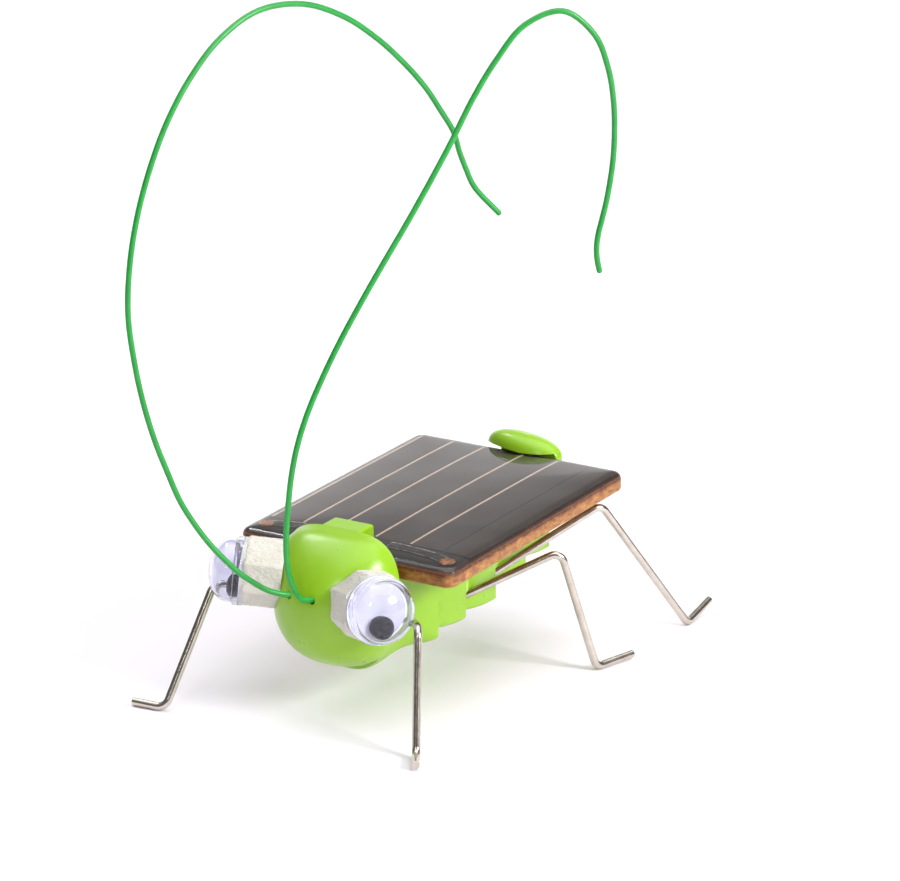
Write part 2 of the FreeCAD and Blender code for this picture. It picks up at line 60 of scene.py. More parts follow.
EYE_TURN = math.radians(30)
EYE_TILT = math.radians(6)
EYE_RADIUS = 3.85
EYE_WALL = 0.3
EYE_PLATE = 0.4
EYE_STRAIGHT_TOP = 2.0
EYE_DOME = 2.4
EYE_FLANGE = 4.18
PUPIL_RADIUS = 1.42
PUPIL_THICK = 1.65
FOAM_DEEP = 4.6
FOAM_CORNERS = (
    (12, 4.5), (58, 4.6), (100, 4.5), (150, 4.7), (196, 4.6), (232, 4.4), (278, 4.3), (325, 4.5),
)

# Middle lines of the two bus strips on the board: each runs from the inner end to the soldered end.
STRIP_HALF = 0.82
STRIP_LINES = {
    "left": ((3.9, -16.05), (6.2, -16.1), (8.4, -16.25), (10.8, -16.6), (12.3, -17.1), (13.7, -17.85)),
    "right": ((-4.4, -15.4), (-6.4, -15.45), (-8.4, -15.6), (-10.8, -16.0), (-12.6, -16.6),
              (-14.0, -17.4)),
}
WIRE_TAIL = ((6.3, -16.1, 0.34), (7.0, -15.3, 0.42), (8.1, -14.0, 0.36), (9.0, -12.7, 0.34))

# Middle lines of the two feelers, from the hole in the head to the curled tip. A scratch program
# sampled them from a trace of the photograph. They are not the points of part.py's route.
FEELER_RADIUS = 0.35
FEELER_STUB = 3.4
FEELER_LINES = {
    "right": (
        (-1.71, -28.93, 16.4), (-2.48, -30.27, 16.88), (-3.32, -31.57, 17.58), (-4.21, -32.78, 18.64),
        (-5.23, -34.05, 19.93), (-6.32, -35.29, 21.62), (-7.59, -36.49, 23.66), (-8.9, -37.69, 26.2),
        (-10.2, -38.86, 29.27), (-11.29, -39.8, 32.91), (-12.5, -40.64, 37.01), (-13.62, -41.2, 41.55),
        (-14.58, -41.48, 46.51), (-15.3, -41.46, 51.77), (-15.37, -40.89, 57.34), (-15.06, -39.7, 62.94),
        (-14.41, -37.93, 68.45), (-13.54, -35.54, 73.71), (-12.58, -32.12, 78.43),
        (-11.29, -27.9, 82.44), (-9.58, -22.57, 84.95), (-7.5, -16.47, 84.87), (-5.51, -10.96, 82.62),
        (-4.0, -6.25, 79.34), (-2.89, -2.22, 75.79), (-1.9, 0.95, 72.35), (-1.1, 3.22, 69.08),
        (-0.42, 5.03, 66.17), (-0.28, 6.21, 63.39), (0.02, 7.24, 61.04), (0.39, 8.13, 59.06),
        (1.06, 9.05, 57.56), (1.81, 9.91, 56.34), (2.55, 10.69, 55.2),
    ),
    "left": (
        (1.65, -28.99, 16.45), (1.14, -30.5, 16.84), (0.87, -31.58, 18.27), (0.72, -32.27, 19.99),
        (0.68, -32.74, 21.97), (0.67, -32.87, 24.17), (0.77, -32.86, 26.69), (0.99, -32.74, 29.58),
        (1.29, -32.48, 32.84), (1.76, -31.87, 36.4), (2.54, -30.84, 40.19), (3.63, -29.4, 44.15),
        (4.95, -27.68, 48.31), (6.47, -25.68, 52.61), (8.0, -23.29, 56.98), (9.53, -20.63, 61.42),
        (10.98, -17.9, 65.99), (12.36, -15.24, 70.63), (13.53, -12.59, 75.24), (15.03, -9.78, 79.62),
        (17.09, -6.93, 83.47), (20.28, -3.57, 84.93), (22.98, -0.93, 81.99), (24.1, 0.42, 77.8),
        (24.48, 1.08, 73.73), (24.55, 1.24, 70.05), (24.44, 1.16, 66.8), (24.16, 0.95, 63.98),
        (23.83, 0.69, 61.56), (23.46, 0.38, 59.5), (23.15, 0.08, 57.72), (23.04, -0.09, 56.14),
        (23.16, -0.13, 54.7), (23.44, -0.07, 53.37),
    ),
}


# ---- camera ----------------------------------------------------------------------------------
# Where the photograph was taken from, fitted to the panel's outline and the feet.
CAMERA_AZIMUTH = math.radians(32.8)
CAMERA_ELEVATION = math.radians(17.06)
CAMERA_DISTANCE = 601.3
CAMERA_AIM_RIGHT = 1.97
CAMERA_AIM_UP = 27.14
SENSOR_WIDTH = 36.0
LENS_LENGTH = 193.64


def make_camera():
    level = math.cos(CAMERA_ELEVATION)
    back = Vector((math.sin(CAMERA_AZIMUTH) * level,
                   -math.cos(CAMERA_AZIMUTH) * level, math.sin(CAMERA_ELEVATION)))
    right = Vector((math.cos(CAMERA_AZIMUTH), math.sin(CAMERA_AZIMUTH), 0))
    up = back.cross(right)
    aim = right * CAMERA_AIM_RIGHT + up * CAMERA_AIM_UP
    data = bpy.data.cameras.new("camera")
    data.sensor_width = SENSOR_WIDTH
    data.lens = LENS_LENGTH
    data.clip_start = 0.02
    data.clip_end = 20.0
    camera = bpy.data.objects.new("camera", data)
    bpy.context.scene.collection.objects.link(camera)
    turn = Matrix((right, up, back)).transposed().to_4x4()
    camera.matrix_world = Matrix.Translation((aim + back * CAMERA_DISTANCE) * MM) @ turn
    bpy.context.scene.camera = camera


# ---- material nodes --------------------------------------------------------------------------
class Look:
    """A Principled material whose detail comes from noise in the part's own coordinates."""

    def __init__(self, name, colour, roughness, **sockets):
        self.material = bpy.data.materials.new(name)
        self.material.use_nodes = True
        self.tree = self.material.node_tree
        self.shader = self.tree.nodes["Principled BSDF"]
        self.output = self.tree.nodes["Material Output"]
        self.set("Base Color", (*colour, 1.0))
        self.set("Roughness", roughness)
        for key, value in sockets.items():
            self.set(key.replace("_", " "), value)
        self.coords = self.tree.nodes.new("ShaderNodeTexCoord").outputs["Object"]
        self.normal = None

    def set(self, socket, value):
        self.shader.inputs[socket].default_value = value

    def link(self, output, socket):
        self.tree.links.new(output, self.shader.inputs[socket])

    def stretched(self, scale):
        node = self.tree.nodes.new("ShaderNodeMapping")
        node.inputs["Scale"].default_value = scale
        self.tree.links.new(self.coords, node.inputs["Vector"])
        return node.outputs["Vector"]

    def noise(self, size_mm, detail=3.0, rough=0.5, stretch=None):
        """Noise whose blobs are about size_mm across."""
        node = self.tree.nodes.new("ShaderNodeTexNoise")
        node.inputs["Scale"].default_value = 1000.0 / size_mm
        node.inputs["Detail"].default_value = detail
        node.inputs["Roughness"].default_value = rough
        vector = self.stretched(stretch) if stretch else self.coords
        self.tree.links.new(vector, node.inputs["Vector"])
        return node.outputs["Fac"]

    def cells(self, size_mm):
        node = self.tree.nodes.new("ShaderNodeTexVoronoi")
        node.inputs["Scale"].default_value = 1000.0 / size_mm
        self.tree.links.new(self.coords, node.inputs["Vector"])
        return node.outputs["Distance"]

    def ramp(self, fac, *stops):
        """Stops are (position, grey or colour)."""
        node = self.tree.nodes.new("ShaderNodeValToRGB")
        elements = node.color_ramp.elements
        while len(elements) < len(stops):
            elements.new(0.5)
        for element, (position, value) in zip(elements, stops):
            element.position = position
            element.color = (*value, 1.0) if isinstance(value, tuple) else (value, value, value, 1.0)
        self.tree.links.new(fac, node.inputs["Fac"])
        return node.outputs["Color"]

    def blend(self, fac, a, b, kind="MIX"):
        node = self.tree.nodes.new("ShaderNodeMix")
        node.data_type = "RGBA"
        node.blend_type = kind
        for socket, value in ((node.inputs["Factor"], fac), (node.inputs["A"], a), (node.inputs["B"], b)):
            self.feed(socket, value)
        return node.outputs["Result"]

    def below_board_top(self, wobble):
        """Depth below the board's top face in millimetres, made uneven by a noise."""
        across = self.tree.nodes.new("ShaderNodeVectorMath")
        across.operation = "DOT_PRODUCT"
        across.inputs[1].default_value = (0.0, 1000 * math.sin(PITCH), -1000 * math.cos(PITCH))
        self.tree.links.new(self.coords, across.inputs[0])
        depth = self.tree.nodes.new("ShaderNodeMath")
        depth.operation = "ADD"
        depth.inputs[1].default_value = PANEL_TOP - 0.35
        self.tree.links.new(across.outputs["Value"], depth.inputs[0])
        uneven = self.tree.nodes.new("ShaderNodeMath")
        uneven.operation = "MULTIPLY_ADD"
        uneven.inputs[1].default_value = 0.7
        self.tree.links.new(wobble, uneven.inputs[0])
        self.tree.links.new(depth.outputs[0], uneven.inputs[2])
        return uneven.outputs[0]

    def feed(self, socket, value):
        if isinstance(value, bpy.types.NodeSocket):
            self.tree.links.new(value, socket)
        elif isinstance(value, tuple):
            socket.default_value = (*value, 1.0)
        else:
            socket.default_value = value

    def bump(self, height, depth_mm, strength=1.0):
        node = self.tree.nodes.new("ShaderNodeBump")
        node.inputs["Strength"].default_value = strength
        node.inputs["Distance"].default_value = depth_mm * MM
        self.tree.links.new(height, node.inputs["Height"])
        if self.normal:
            self.tree.links.new(self.normal, node.inputs["Normal"])
        self.normal = node.outputs["Normal"]
        self.link(self.normal, "Normal")

    def clear_to_lamps(self, tint):
        """Glass that lets lamp light straight through to what is inside it."""
        through = self.tree.nodes.new("ShaderNodeBsdfTransparent")
        through.inputs["Color"].default_value = (*tint, 1.0)
        path = self.tree.nodes.new("ShaderNodeLightPath")
        mix = self.tree.nodes.new("ShaderNodeMixShader")
        self.tree.links.new(path.outputs["Is Shadow Ray"], mix.inputs[0])
        self.tree.links.new(self.shader.outputs[0], mix.inputs[1])
        self.tree.links.new(through.outputs[0], mix.inputs[2])
        self.tree.links.new(mix.outputs[0], self.output.inputs["Surface"])


def green_plastic():
    look = Look("green_plastic", (0.24, 0.465, 0.008), 0.32, Coat_Weight=0.15, Coat_Roughness=0.12,
                Subsurface_Weight=0.1, Subsurface_Scale=0.0012, Subsurface_Radius=(0.9, 1.0, 0.15))
    drift = look.ramp(look.noise(9.0, 2.0), (0.3, (0.232, 0.455, 0.007)), (0.7, (0.252, 0.478, 0.010)))
    mottle = look.ramp(look.noise(0.35, 4.0), (0.35, 0.975), (0.65, 1.0))
    colour = look.blend(1.0, drift, mottle, "MULTIPLY")
    specks = look.ramp(look.cells(5.5), (0.0, 0.35), (0.012, 0.5), (0.018, 1.0))
    look.link(look.blend(1.0, colour, specks, "MULTIPLY"), "Base Color")
    look.link(look.ramp(look.noise(1.4, 4.0), (0.3, 0.27), (0.7, 0.38)), "Roughness")
    look.bump(look.noise(0.5, 2.0), 0.005, 0.5)
    look.bump(look.noise(4.0, 1.0), 0.02, 0.5)
    return look.material


def laminate_edge():
    look = Look("laminate_edge", (0.42, 0.17, 0.035), 0.5, Subsurface_Weight=0.08,
                Subsurface_Scale=0.0006, Subsurface_Radius=(1.0, 0.45, 0.15))
    layers = look.noise(0.55, 5.0, 0.7, stretch=(0.55, 0.55, 1.5))
    brown = look.ramp(layers, (0.32, (0.19, 0.066, 0.012)), (0.5, (0.36, 0.15, 0.032)),
                      (0.7, (0.52, 0.26, 0.07)))
    patch = look.ramp(look.noise(1.5, 4.0, 0.6), (0.3, (0.66, 0.56, 0.46)), (0.65, (1.0, 1.0, 1.0)))
    chips = look.ramp(look.cells(0.3), (0.0, (1.35, 1.25, 1.1)), (0.16, (1.0, 1.0, 1.0)))
    sawn = look.blend(1.0, look.blend(1.0, brown, patch, "MULTIPLY"), chips, "MULTIPLY")
    # the sawn side is darker towards the board's top face, along an uneven line
    depth = look.below_board_top(look.noise(0.8, 3.0))
    darker_towards_top = look.ramp(depth, (0.15, (0.30, 0.20, 0.15)), (0.35, (0.62, 0.50, 0.42)),
                       (0.62, (1.0, 1.0, 1.0)))
    look.link(look.blend(1.0, sawn, darker_towards_top, "MULTIPLY"), "Base Color")
    look.link(look.ramp(look.noise(0.5, 3.0), (0.3, 0.32), (0.7, 0.6)), "Roughness")
    look.bump(look.noise(0.3, 4.0), 0.03, 0.8)
    look.bump(look.noise(0.12, 3.0), 0.012, 0.6)
    return look.material


def laminate_top():
    look = Look("laminate_top", (0.012, 0.009, 0.009), 0.45)
    look.link(look.ramp(look.noise(1.1, 5.0), (0.3, (0.007, 0.006, 0.006)),
                        (0.75, (0.020, 0.014, 0.013))), "Base Color")
    look.link(look.ramp(look.noise(0.3, 3.0), (0.3, 0.35), (0.7, 0.6)), "Roughness")
    look.bump(look.noise(0.25, 3.0), 0.01, 0.6)
    return look.material


def silicon():
    look = Look("silicon", (0.020, 0.015, 0.015), 0.4)
    grain = look.noise(0.3, 4.0, 0.6)
    base = look.ramp(look.noise(7.0, 2.0), (0.3, (0.020, 0.0125, 0.0105)), (0.7, (0.029, 0.019, 0.016)))
    look.link(look.blend(1.0, base, look.ramp(grain, (0.3, 0.88), (0.7, 1.12)), "MULTIPLY"), "Base Color")
    look.link(look.ramp(grain, (0.3, 0.42), (0.7, 0.52)), "Roughness")
    look.bump(grain, 0.001, 0.4)
    return look.material


def contact_silver():
    look = Look("contact_silver", (0.34, 0.25, 0.20), 0.45, Metallic=0.25)
    look.link(look.ramp(look.noise(0.3, 4.0), (0.3, (0.40, 0.31, 0.24)), (0.7, (0.54, 0.43, 0.35))),
              "Base Color")
    look.link(look.ramp(look.noise(0.2, 3.0), (0.3, 0.4), (0.7, 0.6)), "Roughness")
    look.bump(look.noise(0.12, 3.0), 0.008, 0.6)
    return look.material


def strip_metal():
    look = Look("strip_metal", (0.06, 0.058, 0.056), 0.4, Metallic=0.4)
    smears = look.noise(1.5, 5.0, 0.7, stretch=(0.4, 1.0, 1.0))
    look.link(look.ramp(smears, (0.35, (0.016, 0.014, 0.014)), (0.6, (0.045, 0.043, 0.042)),
                        (0.8, (0.20, 0.195, 0.185))), "Base Color")
    look.link(look.ramp(look.noise(0.4, 3.0), (0.3, 0.3), (0.7, 0.5)), "Roughness")
    look.bump(look.noise(0.5, 4.0), 0.02, 0.6)
    return look.material


def strip_edge():
    look = Look("strip_edge", (0.40, 0.38, 0.34), 0.4, Metallic=0.5)
    look.link(look.ramp(look.noise(0.6, 4.0), (0.4, (0.07, 0.062, 0.056)), (0.62, (0.44, 0.41, 0.37))),
              "Base Color")
    look.link(look.ramp(look.noise(0.2, 3.0), (0.3, 0.3), (0.7, 0.5)), "Roughness")
    look.bump(look.noise(0.15, 3.0), 0.01, 0.6)
    return look.material


def copper_pad():
    look = Look("copper_pad", (0.34, 0.13, 0.045), 0.4, Metallic=0.5)
    look.link(look.ramp(look.noise(0.5, 4.0), (0.38, (0.12, 0.055, 0.03)), (0.62, (0.42, 0.17, 0.06))),
              "Base Color")
    look.link(look.ramp(look.noise(0.2, 3.0), (0.3, 0.3), (0.7, 0.55)), "Roughness")
    look.bump(look.noise(0.2, 3.0), 0.02, 0.6)
    return look.material


def clear_resin():
    look = Look("clear_resin", (0.97, 0.95, 0.93), 0.02, Transmission_Weight=1.0, IOR=1.5)
    look.link(look.ramp(look.noise(2.5, 4.0), (0.3, 0.0), (0.75, 0.015)), "Roughness")
    look.bump(look.noise(6.0, 1.0), 0.03, 0.5)
    look.clear_to_lamps((0.9, 0.88, 0.86))
    return look.material


def clear_plastic():
    look = Look("clear_plastic", (0.80, 0.805, 0.90), 0.03, Transmission_Weight=1.0, IOR=1.38)
    look.link(look.ramp(look.noise(1.2, 4.0), (0.3, 0.01), (0.75, 0.04)), "Roughness")
    look.bump(look.noise(2.5, 2.0), 0.01, 0.4)
    look.clear_to_lamps((0.88, 0.88, 0.93))
    return look.material


def white_plastic():
    look = Look("white_plastic", (0.78, 0.78, 0.83), 0.45)
    look.link(look.ramp(look.noise(1.6, 4.0), (0.3, (0.44, 0.44, 0.45)), (0.7, (0.51, 0.51, 0.52))),
              "Base Color")
    look.link(look.ramp(look.noise(0.3, 3.0), (0.3, 0.35), (0.7, 0.55)), "Roughness")
    look.bump(look.noise(0.2, 3.0), 0.01, 0.6)
    return look.material


def black_plastic():
    look = Look("black_plastic", (0.003, 0.003, 0.004), 0.2, Specular_IOR_Level=0.2)
    look.link(look.ramp(look.noise(0.6, 4.0), (0.3, (0.003, 0.003, 0.0035)), (0.7, (0.009, 0.009, 0.010))),
              "Base Color")
    look.link(look.ramp(look.noise(0.3, 3.0), (0.3, 0.12), (0.7, 0.22)), "Roughness")
    look.bump(look.noise(0.5, 2.0), 0.003, 0.5)
    return look.material


def foam_look():
    look = Look("foam", (0.52, 0.505, 0.43), 0.8, Subsurface_Weight=0.25, Subsurface_Scale=0.0006,
                Subsurface_Radius=(1.0, 0.95, 0.8), Sheen_Weight=0.15)
    pores = look.cells(0.13)
    drift = look.ramp(look.noise(2.2, 3.0), (0.3, (0.53, 0.505, 0.445)), (0.7, (0.60, 0.58, 0.53)))
    # painted shade: each pore is darkened towards its middle, where shade falls into the hole
    shade = look.ramp(pores, (0.0, 0.78), (0.35, 0.98), (0.7, 1.08))
    look.link(look.blend(1.0, drift, shade, "MULTIPLY"), "Base Color")
    look.link(look.ramp(look.cells(0.17), (0.0, 0.3), (0.18, 0.85)), "Roughness")
    look.bump(pores, 0.06, 1.0)
    look.bump(look.noise(0.4, 3.0), 0.05, 0.6)
    return look.material


def nickel_wire():
    look = Look("nickel_wire", (0.56, 0.51, 0.44), 0.22, Metallic=1.0)
    look.link(look.ramp(look.noise(1.6, 4.0, 0.6), (0.3, (0.49, 0.44, 0.375)), (0.7, (0.61, 0.565, 0.50))),
              "Base Color")
    look.link(look.ramp(look.noise(0.9, 3.0, 0.5), (0.3, 0.17), (0.75, 0.27)), "Roughness")
    look.bump(look.noise(0.8, 2.0, 0.5), 0.006, 0.4)
    return look.material


def feeler_coating():
    look = Look("feeler_coating", (0.004, 0.27, 0.028), 0.4, Coat_Weight=0.1, Coat_Roughness=0.15,
                Subsurface_Weight=0.1, Subsurface_Scale=0.0003, Subsurface_Radius=(0.2, 1.0, 0.3))
    look.link(look.ramp(look.noise(2.0, 4.0), (0.3, (0.003, 0.245, 0.024)), (0.7, (0.006, 0.295, 0.034))),
              "Base Color")
    look.link(look.ramp(look.noise(0.8, 3.0), (0.3, 0.34), (0.7, 0.46)), "Roughness")
    look.bump(look.noise(0.5, 2.0), 0.004, 0.4)
    return look.material


def simple_look(name, low, high, roughness, metallic=0.0, size=0.5, depth=0.008):
    """Hidden small parts: blotchy colour, uneven gloss and a fine grain."""
    look = Look(name, high, roughness, Metallic=metallic)
    look.link(look.ramp(look.noise(size * 2, 4.0), (0.3, low), (0.7, high)), "Base Color")
    look.link(look.ramp(look.noise(size, 4.0), (0.3, roughness - 0.08), (0.7, roughness + 0.12)),
              "Roughness")
    look.bump(look.noise(size / 3, 3.0), depth, 0.6)
    return look.material


# ---- mesh helpers ----------------------------------------------------------------------------
def add_piece(name, points, faces, materials, place, body, nodes, face_material=None,
              sharp_degrees=40):
    """Make a piece from millimetre points, stand it in for CAD nodes and hang it on its body."""
    mesh = bpy.data.meshes.new(name)
    scaled = [(place @ Vector(point)) * MM for point in points]
    mesh.from_pydata(scaled, [], faces)
    for material in materials:
        mesh.materials.append(material)
    if face_material:
        for polygon in mesh.polygons:
            polygon.material_index = face_material(polygon.index)
    sculpt = bmesh.new()
    sculpt.from_mesh(mesh)
    bmesh.ops.recalc_face_normals(sculpt, faces=sculpt.faces)
    limit = math.radians(sharp_degrees)
    for edge in sculpt.edges:
        if len(edge.link_faces) == 2 and edge.calc_face_angle() > limit:
            edge.smooth = False
    for face in sculpt.faces:
        face.smooth = True
    sculpt.to_mesh(mesh)
    sculpt.free()
    piece = bpy.data.objects.new(name, mesh)
    bpy.context.scene.collection.objects.link(piece)
    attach(piece, body)
    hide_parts(*nodes)
    return piece


def rings_to_faces(rings, around):
    """Quads between successive rings of point numbers that each hold `around` points."""
    faces = []
    for low, high in zip(rings, rings[1:]):
        for step in range(around):
            after = (step + 1) % around
            if len(low) == 1:
                faces.append((low[0], high[after], high[step]))
            elif len(high) == 1:
                faces.append((low[step], low[after], high[0]))
            else:
                faces.append((low[step], low[after], high[after], high[step]))
    return faces


def lathe(profile, around=112):
    """Turn (radius, height) points about +Z. A zero radius makes a pole."""
    points = []
    rings = []
    for radius, height in profile:
        if radius == 0:
            rings.append([len(points)])
            points.append((0, 0, height))
            continue
        start = len(points)
        for step in range(around):
            angle = TAU * step / around
            points.append((radius * math.cos(angle), radius * math.sin(angle), height))
        rings.append(list(range(start, start + around)))
    return points, rings_to_faces(rings, around)


def softened(corners, reach, steps=4):
    """Round each inner corner of an open (radius, height) line by a short curve."""
    line = [corners[0]]
    for before, corner, after in zip(corners, corners[1:], corners[2:]):
        before, corner, after = Vector(before), Vector(corner), Vector(after)
        cut = min(reach, (before - corner).length * 0.45, (after - corner).length * 0.45)
        start = corner + (before - corner).normalized() * cut
        end = corner + (after - corner).normalized() * cut
        for step in range(steps + 1):
            share = step / steps
            point = start * (1 - share) ** 2 + corner * 2 * share * (1 - share) + end * share ** 2
            line.append(tuple(point))
    line.append(corners[-1])
    return line


def quarter_ellipse(radius, height, base, steps=18):
    """From the pole down to the rim, as (radius, height) points."""
    line = []
    for step in range(steps + 1):
        angle = math.pi / 2 * step / steps
        line.append((radius * math.sin(angle), base + height * math.cos(angle)))
    line[0] = (0, base + height)
    return line


def ripple(point, size, seed=0.0):
    """Smooth noise from -1 to 1 with blobs about `size` across."""
    return noise.noise(Vector(point) / size + Vector((seed, seed * 1.7, seed * 0.3)))


# ---- panel -----------------------------------------------------------------------------------
def rounded_outline(half_x, half_y, corner, spacing):
    """Points round a rounded rectangle, anticlockwise."""
    points = []
    inner_x = half_x - corner
    inner_y = half_y - corner
    centres = ((inner_x, inner_y, 0), (-inner_x, inner_y, 90), (-inner_x, -inner_y, 180),
               (inner_x, -inner_y, 270))
    for index, (cx, cy, start) in enumerate(centres):
        for step in range(7):
            angle = math.radians(start + 15 * step)
            points.append(Vector((cx + corner * math.cos(angle), cy + corner * math.sin(angle))))
        nx, ny, next_start = centres[(index + 1) % 4]
        angle = math.radians(next_start)
        goal = Vector((nx + corner * math.cos(angle), ny + corner * math.sin(angle)))
        last = points[-1]
        pieces = max(2, round((goal - last).length / spacing))
        for step in range(1, pieces):
            points.append(last.lerp(goal, step / pieces))
    return points


def board_mesh():
    """The board: sawn sides with slight chips, small chamfers and a dark printed top."""
    outline = rounded_outline(BOARD_HALF_X, BOARD_HALF_Y, BOARD_CORNER, 0.28)
    around = len(outline)
    levels = ((0.55, 0.0), (0.16, 0.0), (0.05, -0.03), (0.0, -0.12), (0.0, -0.35), (0.0, -0.6), (0.0, -0.85),
              (0.0, -1.1), (0.01, -1.35), (0.06, -1.55), (0.16, -1.7), (0.32, -1.785),
              (0.45, -BOARD_THICK))
    points = []
    rings = []
    for inset, height in levels:
        start = len(points)
        for index, spot in enumerate(outline):
            along = (outline[(index + 1) % around] - outline[index - 1]).normalized()
            outward = Vector((along.y, -along.x))
            rough = (ripple((spot.x, spot.y, height), 0.45) * 0.03
                     + ripple((spot.x, spot.y, height * 3), 1.6, 5) * 0.03)
            if inset > 0.1:
                rough = 0
            moved = spot - outward * (inset + 0.05 + rough)
            points.append((moved.x, moved.y, height))
        rings.append(list(range(start, start + around)))
    faces = rings_to_faces(rings, around)
    faces.append(tuple(rings[0]))
    faces.append(tuple(reversed(rings[-1])))
    top_face = len(faces) - 2
    return points, faces, (lambda index: 1 if index == top_face else 0)


RESIN_LIP = 0.66
RESIN_ROUNDING = 1.25        # width of the rounded edge
RESIN_CROWN = 0.22           # how much it rises further in, over about RESIN_CROWN_REACH
RESIN_CROWN_REACH = 4.0
RESIN_SWELL = 0.2            # how much more it rises at the panel's middle
RESIN_WAVE = 0.018
RESIN_WAVE_SIZE = 6.0


def resin_height(edge_distance, x, y):
    """Height of the poured resin above the board, from its distance to the board's edge."""
    lip = RESIN_LIP
    if edge_distance < RESIN_ROUNDING:
        lip *= math.sqrt(max(0.0, 1 - (1 - edge_distance / RESIN_ROUNDING) ** 2))
    crown = RESIN_CROWN * (1 - math.exp(-edge_distance / RESIN_CROWN_REACH))
    crown += RESIN_SWELL * max(0.0, (1 - (x / BOARD_HALF_X) ** 2) * (1 - (y / BOARD_HALF_Y) ** 2))
    wave = RESIN_WAVE * ripple((x, y, 0), RESIN_WAVE_SIZE) * min(1.0, edge_distance / 2)
    return lip + crown + wave


def resin_mesh():
    """The clear pour: rounded over at the board's edge and crowned towards the middle."""
    half_x = BOARD_HALF_X - 0.08
    half_y = BOARD_HALF_Y - 0.08
    corner = BOARD_CORNER
    insets = [0, 0.02, 0.05, 0.1, 0.17, 0.26, 0.38, 0.53, 0.7, 0.9, 1.15, 1.45, 1.8, 2.3, 2.9, 3.6]
    middle_x = [-11.6 + 23.2 * step / 34 for step in range(1, 34)]
    middle_y = [-16.3 + 32.6 * step / 48 for step in range(1, 48)]

    def stations(half, middle):
        low = [-half + inset for inset in insets]
        return low + middle + [-value for value in reversed(low)]

    columns = stations(half_x, middle_x)
    rows = stations(half_y, middle_y)
    points = []
    for y in rows:
        for x in columns:
            over_x = abs(x) - (half_x - corner)
            over_y = abs(y) - (half_y - corner)
            if over_x > 0 and over_y > 0:
                reach = max(over_x, over_y) / math.hypot(over_x, over_y)
                spot_x = math.copysign(half_x - corner + over_x * reach, x)
                spot_y = math.copysign(half_y - corner + over_y * reach, y)
                edge = corner - max(over_x, over_y)
            else:
                spot_x, spot_y = x, y
                edge = min(half_x - abs(x), half_y - abs(y))
            points.append((spot_x, spot_y, resin_height(max(edge, 0.0), spot_x, spot_y)))
    wide = len(columns)
    tall = len(rows)
    below = len(points)
    for x, y, _ in points[:below]:
        points.append((x, y, -0.02))
    faces = []
    for row in range(tall - 1):
        for column in range(wide - 1):
            a = row * wide + column
            quad = (a, a + 1, a + wide + 1, a + wide)
            faces.append(quad)
            faces.append(tuple(below + index for index in reversed(quad)))
    rim = [column for column in range(wide)]
    rim += [row * wide + wide - 1 for row in range(1, tall)]
    rim += [(tall - 1) * wide + column for column in range(wide - 2, -1, -1)]
    rim += [row * wide for row in range(tall - 2, 0, -1)]
    for here, there in zip(rim, rim[1:] + rim[:1]):
        faces.append((here, below + here, below + there, there))
    return points, faces


def smooth_line(spots, steps):
    """Points along a smooth curve that passes through every spot."""
    spots = [Vector(spot) for spot in spots]
    slopes = []
    for index in range(len(spots)):
        before = spots[max(index - 1, 0)]
        after = spots[min(index + 1, len(spots) - 1)]
        slopes.append((after - before) / 2)
    line = []
    for index in range(len(spots) - 1):
        for step in range(steps):
            t = step / steps
            line.append(spots[index] * (2 * t ** 3 - 3 * t ** 2 + 1)
                        + slopes[index] * (t ** 3 - 2 * t ** 2 + t)
                        + spots[index + 1] * (3 * t ** 2 - 2 * t ** 3)
                        + slopes[index + 1] * (t ** 3 - t ** 2))
    line.append(spots[-1])
    return line


def tube(line, radius, around, round_steps=5):
    """A round wire along a line of points, with a domed end at both tips."""
    count = len(line)
    forward = [(line[min(index + 1, count - 1)] - line[max(index - 1, 0)]).normalized()
               for index in range(count)]
    side = forward[0].orthogonal().normalized()
    stations = []
    for index in range(count):
        side = (side - forward[index] * side.dot(forward[index])).normalized()
        stations.append((line[index], forward[index], side, 1.0))
    domes = []
    for step in range(round_steps):
        angle = math.pi / 2 * step / round_steps
        domes.append((math.cos(angle), math.sin(angle)))
    start = [(line[0] - forward[0] * radius * cosine, forward[0], stations[0][2], sine)
             for cosine, sine in domes[1:]]
    end = [(line[-1] + forward[-1] * radius * cosine, forward[-1], stations[-1][2], sine)
           for cosine, sine in reversed(domes[1:])]
    points = [tuple(line[0] - forward[0] * radius)]
    rings = [[0]]
    for middle, along, across, size in start + stations + end:
        upward = along.cross(across)
        rings.append(list(range(len(points), len(points) + around)))
        for step in range(around):
            angle = TAU * step / around
            spot = middle + (across * math.cos(angle) + upward * math.sin(angle)) * radius * size
            points.append(tuple(spot))
    rings.append([len(points)])
    points.append(tuple(line[-1] + forward[-1] * radius))
    return points, rings_to_faces(rings, around)


